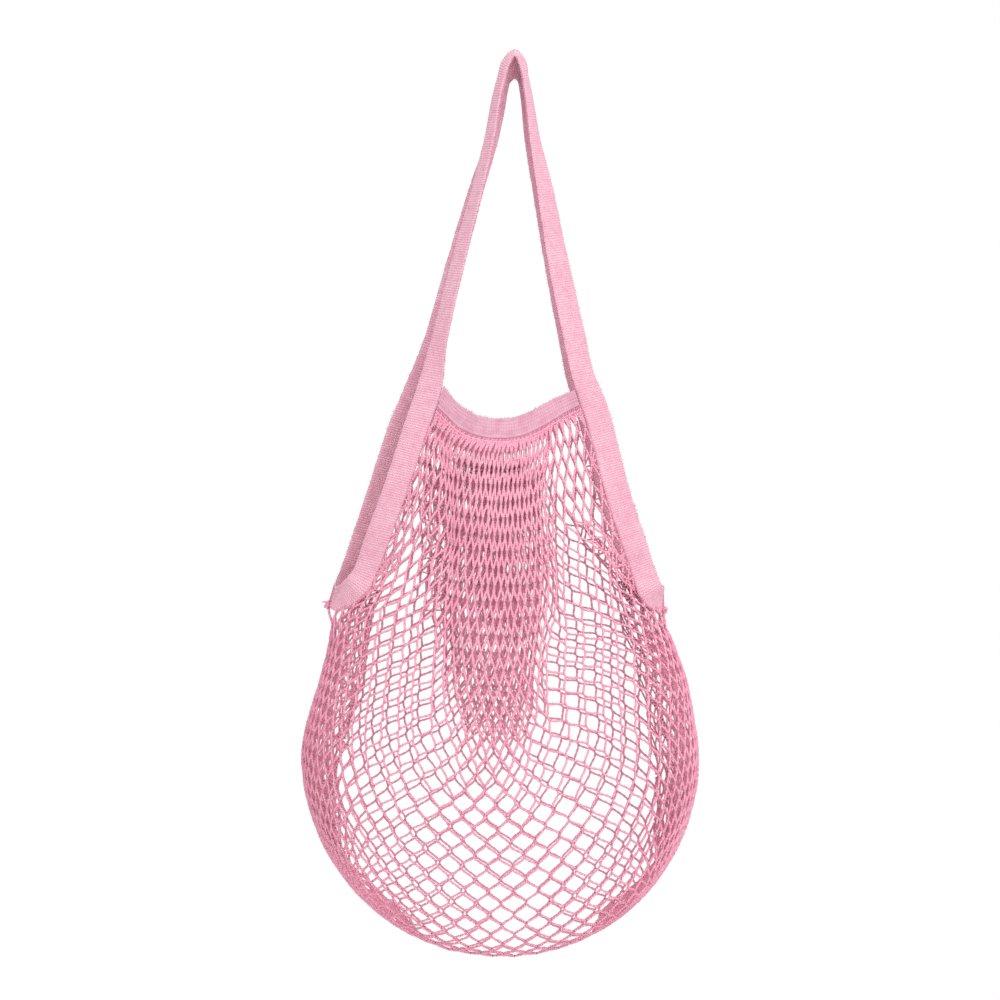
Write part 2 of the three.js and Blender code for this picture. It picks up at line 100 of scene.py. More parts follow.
# columns: level z, x of the fold, depth
FOLD = (
    (-335, -62, 0),
    (-365, -60, 3.5),
    (-420, -58, 6),
    (-490, -56, 6),
    (-545, -50, 3),
    (-590, -44, 0),
)
SET, BODY, FREE = 0, 1, 2
# columns: inner edge x, z; outer edge x, z; rule; a; b; tape width there
FRONT_STRAP = (
    (-165.1, -488.6, -159.3, -469.0, SET,   0.3,   0.3, 23),
    (-157.5, -492.2, -158.4, -470.8, SET,  12.0,   9.0, 23),
    (-145.1, -488.6, -154.9, -469.0, SET,  23.0,  17.0, 23),
    (-131.7, -478.8, -150.4, -462.8, SET,  31.0,  24.0, 23),
    (-121.0, -462.8, -144.2, -454.8, BODY,  0.36, 0,    23),
    (-111.3, -437.0, -135.3, -430.8, BODY,  0.33, 0,    23),
    ( -92.6, -380.9, -113.9, -375.6, BODY,  0.28, 0,    23),
    ( -74.8, -324.0,  -94.3, -319.5, BODY,  0.24, 0,    23),
    ( -67.6, -301.7,  -86.3, -298.2, BODY,  0.20, 0,    23),
    ( -60.5, -259.9,  -75.7, -256.3, FREE, 19.5,  0,    23),
    ( -43.6, -182.5,  -56.1, -179.8, FREE, 16.5,  0,    23),
    ( -25.8, -109.5,  -35.6, -107.7, FREE, 13.0,  0,    21.5),
    ( -18.2,  -74.8,  -26.7,  -73.0, FREE, 10.8,  0,    20),
    ( -11.6,  -32.9,  -18.2,  -30.3, FREE,  8.3,  0,    16.5),
    (  -8.5,  -20.5,  -14.7,  -17.4, FREE,  7.6,  0,    15),
    (  -5.6,  -10.0,  -10.9,   -4.2, SET,  13.1,  1.6,  14),
    (   0.0,   -1.2,    0.0,    5.6, SET,  12.6,  1.6,  13),
    (   4.2,   -9.2,    8.7,   -3.3, SET,  13.3,  1.4,  14),
    (   6.7,  -19.6,   10.7,  -16.0, FREE,  7.6,  0,    15),
    (   8.5,  -32.9,   13.8,  -30.3, FREE,  8.3,  0,    16.5),
    (  12.9,  -74.8,   21.8,  -73.0, FREE, 10.8,  0,    20),
    (  17.8, -110.4,   31.2, -107.7, FREE, 13.0,  0,    21.5),
    (  28.5, -181.6,   46.3, -178.0, FREE, 16.5,  0,    23),
    (  42.7, -252.8,   62.3, -249.2, FREE, 19.3,  0,    23),
    (  50.7, -288.4,   70.3, -283.9, FREE, 20.6,  0,    23),
    (  58.7, -309.7,   78.3, -304.4, BODY,  0.20, 0,    23),
    (  65.9, -334.6,   85.9, -329.3, BODY,  0.24, 0,    23),
    (  78.3, -388.0,  100.1, -381.8, BODY,  0.28, 0,    23),
    (  94.3, -437.9,  116.1, -430.8, BODY,  0.33, 0,    23),
    ( 101.5, -462.8,  125.0, -453.9, BODY,  0.36, 0,    23),
    ( 108.6, -478.8,  129.1, -467.3, SET,  31.0,  24.0, 23),
    ( 116.6, -488.6,  131.3, -471.7, SET,  23.0,  17.0, 23),
    ( 124.6, -493.5,  131.7, -472.6, SET,  12.0,   9.0, 23),
    ( 131.3, -493.1,  130.4, -471.7, SET,   0.3,   0.3, 23),
)
BACK_STRAP = (
    (-165.1, -488.6, -159.3, -469.0, SET,   0.3,   0.3, 23),
    (-158.9, -491.3, -160.2, -469.9, SET,  12.0,   9.0, 23),
    (-150.4, -486.8, -160.2, -467.3, SET,  23.0,  17.0, 23),
    (-139.7, -474.4, -158.9, -460.1, SET,  31.0,  24.0, 23),
    (-130.8, -453.9, -154.9, -446.8, BODY,  0.36, 0,    23),
    (-121.0, -425.4, -145.1, -419.2, BODY,  0.33, 0,    23),
    (-105.9, -377.4, -129.1, -372.0, BODY,  0.28, 0,    23),
    ( -88.1, -324.0, -109.9, -318.6, BODY,  0.24, 0,    23),
    ( -79.2, -301.7,  -99.7, -296.4, BODY,  0.20, 0,    23),
    ( -67.6, -262.5,  -84.5, -259.0, FREE, 19.5,  0,    23),
    ( -46.3, -184.2,  -61.0, -181.6, FREE, 16.5,  0,    23),
    ( -26.7, -111.2,  -38.3, -109.0, FREE, 13.0,  0,    21.5),
    ( -16.5,  -75.7,  -25.4,  -73.9, FREE, 10.8,  0,    20),
    (  -9.2,  -42.0,  -15.7,  -30.9, SET,  15.3,  1.9,  18.5),
    (  -7.2,  -29.9,  -10.6,  -13.7, SET,  13.7,  2.5,  20),
    (  -4.1,  -20.4,   -5.7,   -1.9, SET,  12.2,  2.5,  21),
    (   0.0,  -17.5,    0.0,    2.6, SET,  11.5,  2.2,  22),
    (   2.7,  -19.9,    4.4,   -1.4, SET,  12.2,  2.5,  21),
    (   5.1,  -29.6,    8.7,  -13.2, SET,  13.5,  2.7,  20),
    (   6.6,  -41.9,   12.5,  -30.2, SET,  15.1,  2.1,  18.5),
    (   9.8,  -75.7,   19.1,  -73.9, FREE, 10.8,  0,    20),
    (  15.1, -110.4,   27.6, -107.7, FREE, 13.0,  0,    21.5),
    (  26.7, -181.6,   42.3, -178.4, FREE, 16.5,  0,    23),
    (  40.0, -252.8,   58.7, -249.2, FREE, 19.3,  0,    23),
    (  47.2, -288.4,   66.8, -283.9, FREE, 20.6,  0,    23),
    (  54.3, -309.7,   73.9, -304.4, BODY,  0.20, 0,    23),
    (  61.4, -334.6,   81.4, -329.3, BODY,  0.24, 0,    23),
    (  73.9, -388.0,   95.7, -381.8, BODY,  0.28, 0,    23),
    (  90.8, -437.9,  112.1, -430.8, BODY,  0.33, 0,    23),
    (  98.8, -462.8,  121.9, -453.9, BODY,  0.36, 0,    23),
    ( 106.8, -478.8,  127.3, -467.3, SET,  31.0,  24.0, 23),
    ( 115.7, -488.6,  130.4, -471.7, SET,  23.0,  17.0, 23),
    ( 124.6, -493.5,  131.7, -472.6, SET,  12.0,   9.0, 23),
    ( 131.3, -493.1,  130.4, -471.7, SET,   0.3,   0.3, 23),
)
# columns: top edge x, z; bottom edge x, z
FRONT_RIM = (
    (-52.1, -307.1, -59.2, -322.2),
    (-42.7, -314.6, -48.1, -332.0),
    (-30.3, -320.8, -33.8, -338.2),
    (-15.1, -322.6, -15.1, -340.9),
    (  0.0, -321.7,   1.8, -339.5),
    ( 13.4, -316.4,  17.8, -333.3),
    ( 25.8, -309.7,  31.2, -325.7),
    ( 36.5, -303.9,  42.7, -318.6),
)
BACK_RIM = (
    (-61.4, -310.6, -68.5, -325.7),
    (-49.8, -318.2, -56.1, -335.6),
    (-36.5, -324.4, -40.9, -341.8),
    (-20.5, -326.6, -20.5, -344.4),
    ( -5.3, -325.3,  -3.6, -343.1),
    (  8.0, -320.0,  12.5, -336.9),
    ( 20.5, -313.3,  25.8, -329.3),
    ( 31.2, -307.5,  37.4, -322.2),
)
# levels: left top, left bottom, right top, right bottom
FRONT_ENDS = (-293.5, -313.0, -297.0, -310.5)
BACK_ENDS = (-297.0, -316.6, -300.5, -314.1)


# ------------------------------------------------------------ bag's shape ----
def smooth(rows, column, z):
    last = len(rows) - 1
    slope = lambda a, b: (rows[b][column] - rows[a][column]) / (rows[b][0] - rows[a][0])
    if z >= rows[0][0]:
        return rows[0][column] + slope(0, 1) * (z - rows[0][0])
    if z <= rows[last][0]:
        return rows[last][column]
    i = 0
    while rows[i + 1][0] > z:
        i += 1
    m0 = slope(0, 1) if i == 0 else slope(i - 1, i + 1)
    m1 = 0 if i + 1 == last else slope(i, i + 2)
    h = rows[i + 1][0] - rows[i][0]
    t = (z - rows[i][0]) / h
    return (
        (2 * t**3 - 3 * t**2 + 1) * rows[i][column]
        + (t**3 - 2 * t**2 + t) * h * m0
        + (-2 * t**3 + 3 * t**2) * rows[i + 1][column]
        + (t**3 - t**2) * h * m1
    )


ZS = np.arange(-800.0, -280.0, 0.5)
LEVELS = np.array([[smooth(BODY_LEVELS, k, z) for k in range(1, 6)] for z in ZS])
FOLDS = np.array(
    [
        [smooth(FOLD, 1, z), 0.0 if z > FOLD[0][0] or z < FOLD[-1][0] else smooth(FOLD, 2, z)]
        for z in ZS
    ]
)


def section(side, z):
    """Centre x, half width, half depth and leanness of one panel's section."""
    z = np.asarray(z, float)
    cx, w, d, shift, lean = (np.interp(z, ZS, LEVELS[:, k]) for k in range(5))
    shift = shift if side > 0 else 0.0 * shift
    cx, w = cx - shift, w + BACK_WIDEN * shift
    drop = np.clip((BELLY_Z - z) / BELLY_DROP, 0, 0.9999)
    share, low = np.sqrt(1 - drop * drop), z < BELLY_Z
    cx = np.where(low, BELLY_CENTRE_X + (BOTTOM_CENTRE_X - BELLY_CENTRE_X) * drop, cx)
    w = np.where(low, BELLY_HALF_WIDTH * share, w)
    d = np.where(low, BELLY_HALF_DEPTH * share, d)
    return cx, w, d, np.where(low, 0.5, lean)


def surface_depth(side, x, z):
    cx, w, d, lean = section(side, z)
    u = np.clip((x - cx) / w, -1, 1)
    return d * (1 - u * u) ** lean


def fold_depth(x, z):
    centre, depth = np.interp(z, ZS, FOLDS[:, 0]), np.interp(z, ZS, FOLDS[:, 1])
    return depth * np.exp(-(((x - centre) / FOLD_HALF_WIDTH) ** 2))


def grade(side, p):
    """Implicit surface of the filled sack: 0 on it, positive outside."""
    x, y, z = p[:, 0], p[:, 1], p[:, 2]
    cx, w, d, lean = section(side, np.maximum(z, BELLY_Z))
    q = np.maximum(np.abs(y) / d, 1e-6)
    upper = q ** (1 / lean) + ((x - cx) / w) ** 2 - 1
    drop = (BELLY_Z - z) / BELLY_DROP
    cx2 = BELLY_CENTRE_X + (BOTTOM_CENTRE_X - BELLY_CENTRE_X) * np.clip(drop, 0, 1)
    lower = ((x - cx2) / BELLY_HALF_WIDTH) ** 2 + (y / BELLY_HALF_DEPTH) ** 2 + drop**2 - 1
    return np.where(z > BELLY_Z, upper, lower)


def slope_of(side, p, e=0.05):
    eye = np.eye(3) * e
    return np.stack(
        [(grade(side, p + eye[k]) - grade(side, p - eye[k])) / (2 * e) for k in range(3)], axis=1
    )


def onto(side, p):
    f, g = grade(side, p), slope_of(side, p)
    n = np.maximum(np.linalg.norm(g, axis=1), 1e-6)
    return p - g / n[:, None] * np.clip(f / n, -4, 4)[:, None]


def unit(v):
    return v / np.maximum(np.linalg.norm(v, axis=-1, keepdims=True), 1e-9)


# ---------------------------------------------------------------- tapes -----
def strap_edges(rows, side):
    out = []
    for xi, zi, xo, zo, rule, a, b, width in rows:
        inner, outer = np.array([xi, 0.0, zi]), np.array([xo, 0.0, zo])
        if rule == SET:
            inner[1], outer[1] = side * a, side * b
        if rule == BODY:
            inner[1] = side * (float(surface_depth(side, xi, zi)) - 1.1)
            outer[1] = inner[1] - side * a * width
        if rule == FREE:
            seen = min(np.linalg.norm(inner - outer), width * 0.999)
            turn = width / 2 * math.sqrt(1 - (seen / width) ** 2)
            inner[1], outer[1] = side * (a + turn), side * (a - turn)
        centre, half = (inner + outer) / 2, unit(outer - inner) * width / 2
        out.append(np.concatenate([centre - half, centre + half]))
    return np.array(out)


def strap_stations(rows, side, step):
    v = strap_edges(rows, side)
    c = (v[:, :3] + v[:, 3:]) / 2
    along = np.concatenate([[0], np.cumsum(np.linalg.norm(np.diff(c, axis=0), axis=1))])
    last = len(v) - 1
    slope = lambda a, b: (v[b] - v[a]) / (along[b] - along[a])

    def tangent(i):
        if i == 0:
            return slope(0, 1)
        if i == last:
            return slope(last - 1, last)
        before, after = along[i] - along[i - 1], along[i + 1] - along[i]
        return (slope(i - 1, i) * after + slope(i, i + 1) * before) / (before + after)

    out = []
    for i in range(last):
        h = along[i + 1] - along[i]
        steps = max(3, math.ceil(h / step))
        for j in range(steps + (1 if i == last - 1 else 0)):
            t = j / steps
            out.append(
                (2 * t**3 - 3 * t**2 + 1) * v[i]
                + (t**3 - 2 * t**2 + t) * h * tangent(i)
                + (-2 * t**3 + 3 * t**2) * v[i + 1]
                + (t**3 - t**2) * h * tangent(i + 1)
            )
    out = np.array(out)
    return out[:, :3], out[:, 3:]


def beside_strap(inner, outer, hand, z, gap):
    half = len(inner) // 2
    a, b = (inner[:half], outer[:half]) if hand < 0 else (inner[half:][::-1], outer[half:][::-1])
    best = 1
    for i in range(1, len(a)):
        if a[i - 1][2] <= z <= a[i][2]:
            best = i
            break
    t = min(1, max(0, (z - a[best - 1][2]) / (a[best][2] - a[best - 1][2])))
    p, q = a[best - 1] * (1 - t) + a[best] * t, b[best - 1] * (1 - t) + b[best] * t
    return p + unit(p - q) * gap


def through(points, steps):
    """Centripetal curve through points, in even steps of its own parameter."""
    p, out = np.array(points), []
    n = len(p)
    for i in range(steps + 1):
        t = i / steps * (n - 1)
        k = min(int(t), n - 2)
        f, p1, p2 = t - k, p[k], p[k + 1]
        p0 = p[k - 1] if k > 0 else 2 * p[0] - p[1]
        p3 = p[k + 2] if k + 2 < n else 2 * p[-1] - p[-2]
        d0, d1, d2 = (max(1e-4, np.linalg.norm(b - a) ** 0.5) for a, b in ((p0, p1), (p1, p2), (p2, p3)))
        t1 = ((p1 - p0) / d0 - (p2 - p0) / (d0 + d1) + (p2 - p1) / d1) * d1
        t2 = ((p2 - p1) / d1 - (p3 - p1) / (d1 + d2) + (p3 - p2) / d2) * d1
        out.append(
            (2 * f**3 - 3 * f**2 + 1) * p1
            + (f**3 - 2 * f**2 + f) * t1
            + (-2 * f**3 + 3 * f**2) * p2
            + (f**3 - f**2) * t2
        )
    return np.array(out)


def rim_stations(rows, ends, inner, outer, side, fine):
    low = [beside_strap(inner, outer, -1, ends[1], JOINT_GAP + 0.3)]
    high = [beside_strap(inner, outer, -1, ends[0], JOINT_GAP + 0.3)]
    for xt, zt, xb, zb in rows:
        y = side * (float(surface_depth(side, xb, zb)) - 1.1)
        low.append(np.array([xb, y, zb]))
        high.append(np.array([xt, y - side * 1.5, zt]))
    low.append(beside_strap(inner, outer, 1, ends[3], JOINT_GAP + 0.3))
    high.append(beside_strap(inner, outer, 1, ends[2], JOINT_GAP + 0.3))
    steps = (len(low) - 1) * fine
    return through(low, steps), through(high, steps)


def lengths(chain):
    return np.concatenate([[0], np.cumsum(np.linalg.norm(np.diff(chain, axis=0), axis=1))])


def spread(chain, shares):
    chain = np.array(chain)
    along = lengths(chain)
    s = np.asarray(shares) * along[-1]
    return np.stack([np.interp(s, along, chain[:, k]) for k in range(3)], axis=1)


# ------------------------------------------------------------------ mesh -----
def make_object(name, points, faces, uv, material, node):
    """One mesh piece: points in millimetres, faces as index rows, uv per face corner."""
    faces = np.asarray(faces, np.int32)
    mesh = bpy.data.meshes.new(name)
    mesh.vertices.add(len(points))
    mesh.vertices.foreach_set("co", (np.asarray(points, np.float32) / 1000).ravel())
    corners = faces.shape[1]
    mesh.loops.add(faces.size)
    mesh.loops.foreach_set("vertex_index", faces.ravel())
    mesh.polygons.add(len(faces))
    mesh.polygons.foreach_set("loop_start", np.arange(0, faces.size, corners, dtype=np.int32))
    mesh.polygons.foreach_set("use_smooth", np.ones(len(faces), bool))
    layer = mesh.uv_layers.new(name="run")
    layer.data.foreach_set("uv", np.asarray(uv, np.float32).reshape(-1))
    mesh.update(calc_edges=True)
    mesh.validate()
    mesh.materials.append(material)
    obj = bpy.data.objects.new(name, mesh)
    bpy.context.scene.collection.objects.link(obj)
    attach(obj, "root")
    if node:
        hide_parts(node)
    return obj


def tube_faces(rings, sides, capped=True):
    """Triangles of one tube and their corner's ring and side numbers."""
    tri, where = [], []
    for i in range(rings - 1):
        for j in range(sides):
            a, b = i * sides + j, i * sides + (j + 1) % sides
            c, d = a + sides, b + sides
            tri += [[a, b, d], [a, d, c]]
            where += [[(i, j), (i, j + 1), (i + 1, j + 1)], [(i, j), (i + 1, j + 1), (i + 1, j)]]
    if capped:
        end = (rings - 1) * sides
        for j in range(1, sides - 1):
            tri += [[0, j + 1, j], [end, end + j, end + j + 1]]
            where += [[(0, 0), (0, j + 1), (0, j)], [(rings - 1, 0), (rings - 1, j), (rings - 1, j + 1)]]
    return np.array(tri), np.array(where, float)


def cords(paths, normals, a, b, pitch, sides=6):
    """Two-ply cords along many paths (count, rings, 3); returns points, triangles, uv."""
    paths = np.asarray(paths, float)
    count, rings, _ = paths.shape
    tangent = unit(np.gradient(paths, axis=1))
    across = unit(np.cross(tangent, np.asarray(normals, float)))
    up = unit(np.cross(across, tangent))
    seg = np.linalg.norm(np.diff(paths, axis=1), axis=2)
    s = np.concatenate([np.zeros((count, 1)), np.cumsum(seg, axis=1)], axis=1)
    start = rng.uniform(0, 2 * math.pi, (count, 1))
    turn = start + 2 * math.pi * s / pitch
    theta = 2 * math.pi * np.arange(sides) / sides
    a = np.broadcast_to(np.asarray(a, float), (count, rings))
    b = np.broadcast_to(np.asarray(b, float), (count, rings))
    ca, sb = a[..., None] * np.cos(theta), b[..., None] * np.sin(theta)
    ct, st = np.cos(turn)[..., None], np.sin(turn)[..., None]
    u, v = ca * ct - sb * st, ca * st + sb * ct
    points = paths[:, :, None, :] + u[..., None] * across[:, :, None, :] + v[..., None] * up[:, :, None, :]
    tri, where = tube_faces(rings, sides)
    tris = (tri[None] + (np.arange(count) * rings * sides)[:, None, None]).reshape(-1, 3)
    ring = where[..., 0].astype(int)
    along = s[:, ring] + (start * pitch / (2 * math.pi))[..., None]
    round_ = np.broadcast_to(where[..., 1] / sides, along.shape)
    uv = np.stack([along / pitch, round_], axis=-1)
    return points.reshape(-1, 3), tris, uv.reshape(-1, 3, 2)


def blobs(centres, axes, normals, long, wide, sides=6):
    """Small knots: stretched round beads along axes."""
    prof = np.array([-1.0, -0.42, 0.42, 1.0])
    rad = np.sqrt(np.clip(1 - prof**2, 0.02, 1))
    paths = centres[:, None, :] + axes[:, None, :] * (prof * long)[None, :, None]
    return cords(paths, normals[:, None, :].repeat(len(prof), axis=1), rad * wide, rad * wide * 0.85, 9.0, sides)


def joined(parts):
    points, tris, uvs, base = [], [], [], 0
    for p, t, uv in parts:
        points.append(p)
        tris.append(t + base)
        uvs.append(uv)
        base += len(p)
    return np.concatenate(points), np.concatenate(tris), np.concatenate(uvs)


# ------------------------------------------------------------- net layout ----
def soft_step(x):
    return 1 / (1 + np.exp(-np.clip(x, -40, 40)))


def panel_edges(side):
    rows, rim, ends = (
        (FRONT_STRAP, FRONT_RIM, FRONT_ENDS) if side < 0 else (BACK_STRAP, BACK_RIM, BACK_ENDS)
    )
    inner, outer = strap_stations(rows, side, 6.0)
    low, high = rim_stations(rim, ends, inner, outer, side, 4)
    half = len(inner) // 2
    beside = inner + unit(inner - outer) * 0.5
    rim_edge = low + unit(low - high) * 0.4
    left = np.array([p for p in beside[:half] if p[2] < rim_edge[0][2] - 1])
    right = np.array([p for p in beside[half:] if p[2] < rim_edge[-1][2] - 1])
    return left, right, rim_edge


def outline(hand, t):
    """Side outline from the vee's level (t = 0) to the lowest point (t = 1)."""
    zs = np.concatenate(
        [
            np.linspace(-490.0, BELLY_Z, 40),
            BELLY_Z - BELLY_DROP * np.sin(np.linspace(0, math.pi / 2, 60))[1:],
        ]
    )
    cx, w, _, _ = section(-1, zs)
    xs = cx + hand * w
    xs[-1] = BOTTOM_CENTRE_X
    chain = np.stack([xs, 0 * xs, zs], axis=1)
    return spread(chain, [t])[0]


def net_layout(passes=600, corner=0.71, stiff=0.04, gather=0.3):
    """Knots of the whole net, relaxed on the filled sack: a sheet of meshes that
    runs from the front rim down, round under the bottom and up to the back rim."""
    n, J, jv, M = NET_COLUMNS, NET_ROWS, VEE_ROW, 2 * NET_COLUMNS
    pts, side_of, fixed, grids = [], [], [], {}
    for side in (-1, 1):
        left, right, rim = panel_edges(side)
        sides_ = {
            -1: spread(left[::-1], np.linspace(0, 1, jv // 2 + 1)),
            1: spread(right, np.linspace(0, 1, jv // 2 + 1)),
        }
        tt = np.linspace(0, 1, n + 1)
        top = spread(rim, tt + gather / (2 * math.pi) * np.sin(2 * math.pi * tt))

        def side_curve(hand, j):
            low = sides_[hand]
            if j <= jv:
                t = j / jv * (len(low) - 1)
                k = min(int(t), len(low) - 2)
                return low[k] * (1 - (t - k)) + low[k + 1] * (t - k)
            p = outline(hand, (j - jv) / (J - jv) * corner)
            f = min(1, (j - jv) / 3)
            return low[-1] * (1 - f) + p * f

        def top_curve(u):
            t = (u + 1) / 2 * n
            k = min(int(t), n - 1)
            return top[k] * (1 - (t - k)) + top[k + 1] * (t - k)

        grid = {}
        for j in range(J + 1):
            v = j / J
            for i in range(M + 1):
                if (i + j) % 2:
                    continue
                shared = j == J or (i in (0, M) and j >= jv)
                if side > 0 and shared:
                    grid[i, j] = grids[-1][i, j]
                    continue
                u, uu = i / n - 1, i / M
                lp, rp, t = side_curve(-1, j), side_curve(1, j), top_curve(u)
                b = outline(-1 if u < 0 else 1, 1 - (1 - corner) * abs(u))
                c00, c10, c01, c11 = side_curve(-1, 0), side_curve(1, 0), side_curve(-1, J), side_curve(1, J)
                p = (
                    (1 - v) * t + v * b + (1 - uu) * lp + uu * rp
                    - (1 - uu) * (1 - v) * c00 - uu * (1 - v) * c10 - (1 - uu) * v * c01 - uu * v * c11
                )
                if j == 0:
                    p = t
                elif i == 0:
                    p = lp
                elif i == M:
                    p = rp
                else:
                    p = p.copy()
                    p[1] = side * float(surface_depth(side, p[0], p[2]))
                pts.append(p)
                side_of.append(0 if shared else side)
                fixed.append(j == 0 or (i in (0, M) and j <= jv))
                grid[i, j] = len(pts) - 1
        grids[side] = grid
    P, S, FX = np.array(pts), np.array(side_of), np.array(fixed)
    legs, ties, where = set(), [], {}
    for side in (-1, 1):
        g = grids[side]
        for (i, j), a in g.items():
            where[a] = (i / n - 1, j / J)
            for di in (-1, 1):
                b = g.get((i + di, j + 1))
                if b is not None and a != b:
                    legs.add((a, b))
            for step, least in (((2, 0), 4.6), ((0, 2), 6.0)):
                b = g.get((i + step[0], j + step[1]))
                if b is not None:
                    ties.append((a, b, least))
    legs = np.array(sorted(legs))
    T, TM = np.array([(a, b) for a, b, _ in ties]), np.array([m for *_, m in ties])
    uv = np.array([where[k] for k in range(len(P))])
    # width that each mesh tends to: drawn shut down the middle, open rhombi beside
    # it, wide diamonds round the bottom, narrow again towards the side seams
    tm = (uv[T[:, 0]] + uv[T[:, 1]]) / 2
    tu, tv = tm[:, 0], tm[:, 1]
    level = np.abs(uv[T[:, 0], 1] - uv[T[:, 1], 1]) < 1e-6
    shut = 0.60 - 0.44 * np.clip((tv - 0.227) / 0.278, 0, 1)
    middle = soft_step((shut - np.abs(tu)) / 0.03)
    share = 0.76 * middle + (1 - middle) * np.where(tu < 0, 0.82, 1.5)
    upper_width = (4.9 + 11.0 * np.clip(tv / 0.35, 0, 1) ** 1.1) * share
    upper_width = np.where(middle > 0.5, np.minimum(upper_width, 5.6), upper_width)
    lower_width = 23.5 - 16.5 * np.clip((np.abs(tu) - 0.24) / 0.28, 0, 1)
    fall = soft_step((tv - 0.48 - 0.035 * middle) / 0.027)
    WT = upper_width * (1 - fall) + lower_width * fall
    flank = soft_step((np.abs(tu) - 0.72) / 0.07) * soft_step((tv - 0.338) / 0.02)
    WT = WT * (1 - flank) + 7.5 * flank

    def leg_at(u, v):
        return (
            LEG
            - CENTRE_DRAW * np.exp(-((u / 0.5) ** 4)) * soft_step((0.49 - v) / 0.047)
            - SIDE_DRAW * soft_step((np.abs(u) - 0.72) / 0.06) * soft_step((v - 0.327) / 0.028)
        )

    # a mesh's height only resists being pressed together, which shares out the slack
    tall = np.sqrt(np.maximum((2 * leg_at(tu, tv)) ** 2 - WT**2, 150.0)) * 0.96
    WT = np.where(level, WT, tall)
    WK = np.where(level, 0.10 + 0.12 * flank, 0.07)
    mid = (uv[legs[:, 0]] + uv[legs[:, 1]]) / 2
    leg = leg_at(mid[:, 0], mid[:, 1])
    # legs keep their length best beside the middle; the slack goes to the corners
    keep = stiff + 0.05 * np.exp(-(((np.abs(mid[:, 0]) - 0.45) / 0.25) ** 4)) * soft_step((mid[:, 1] - 0.237) / 0.037) * soft_step((0.70 - mid[:, 1]) / 0.037)
    free = (~FX).astype(float)
    wa, wb = free[legs[:, 0]], free[legs[:, 1]]
    ws = np.maximum(wa + wb, 1e-9)
    ta, tb = free[T[:, 0]], free[T[:, 1]]
    ts = np.maximum(ta + tb, 1e-9)
    nP = len(P)
    scatter = lambda idx, val: np.stack([np.bincount(idx, val[:, k], nP) for k in range(3)], axis=1)
    count = np.bincount(legs.ravel(), minlength=nP).astype(float)
    for _ in range(passes):
        for _ in range(6):
            d = P[legs[:, 1]] - P[legs[:, 0]]
            l = np.maximum(np.linalg.norm(d, axis=1), 1e-6)
            err = l - leg
            move = d * (np.where(err > 0, 1.0, keep) * err / l / ws)[:, None]
            delta = scatter(legs[:, 0], move * wa[:, None]) - scatter(legs[:, 1], move * wb[:, None])
            d = P[T[:, 1]] - P[T[:, 0]]
            l = np.maximum(np.linalg.norm(d, axis=1), 1e-6)
            err = np.where(l < TM, l - TM, WK * np.where(level, l - WT, np.minimum(l - WT, 0)))
            move = d * (err / l / ts)[:, None]
            cnt = count + np.bincount(T[l < TM].ravel(), minlength=nP)
            delta += scatter(T[:, 0], move * ta[:, None]) - scatter(T[:, 1], move * tb[:, None])
            P = P + delta / np.maximum(cnt, 1)[:, None] * 1.5
        P[:, 2] -= 0.02 * free
        front, back = onto(-1, P), onto(1, P)
        Q = np.where(
            (S < 0)[:, None], front,
            np.where((S > 0)[:, None], back, np.where((P[:, 1] <= 0)[:, None], front, back)),
        )
        above = Q[:, 2] > -485
        Q[:, 1] = np.where((S < 0) & above, np.minimum(Q[:, 1], -0.5), Q[:, 1])
        Q[:, 1] = np.where((S > 0) & above, np.maximum(Q[:, 1], 0.5), Q[:, 1])
        P = np.where(FX[:, None], P, Q)
    return P, S, FX, legs, grids


def creased(side, p, rows):
    """The net drawn together sideways along upright bundles."""
    p = p.copy()
    for xa, za, xb, zb, w, share in rows:
        z = p[:, 2]
        xc = xa + (xb - xa) * np.clip((za - z) / (za - zb), 0, 1)
        win = soft_step((za - z) / 8) * soft_step((z - zb) / 14)
        r = (p[:, 0] - xc) / w
        p[:, 0] = xc + (p[:, 0] - xc) * (1 - share * win * np.exp(-r * r))
    p[:, 1] = side * surface_depth(side, p[:, 0], p[:, 2])
    return p


P, S, FX, legs, grids = net_layout()
for side, rows in ((-1, FRONT_CREASES), (1, BACK_CREASES)):
    mine = (S == side) & ~FX
    P[mine] = creased(side, P[mine], rows)
N_out = np.where((S <= 0)[:, None], slope_of(-1, P), slope_of(1, P))
N_out = unit(N_out)
for k in np.nonzero(FX)[0]:            # knots sewn to a tape face the way their neighbours do
    near = legs[(legs[:, 0] == k) | (legs[:, 1] == k)].ravel()
    near = near[near != k]
    N_out[k] = unit(N_out[near].mean(axis=0)) if len(near) else N_out[k]
P = P.copy()
front_free = (S < 0) & ~FX
P[front_free, 1] += fold_depth(P[front_free, 0], P[front_free, 2])
jitter = rng.normal(0, 0.28, P.shape)
jitter -= (jitter * N_out).sum(1, keepdims=True) * N_out * 0.3
P[~FX] += jitter[~FX]

# the way each knot's column runs, downwards
down = np.zeros_like(P)
for a, b in legs:
    d = unit(P[b] - P[a])
    down[a] += d
    down[b] += d
down = unit(down)

# ---------------------------------------------------------- net's cords ------
RINGS = 7


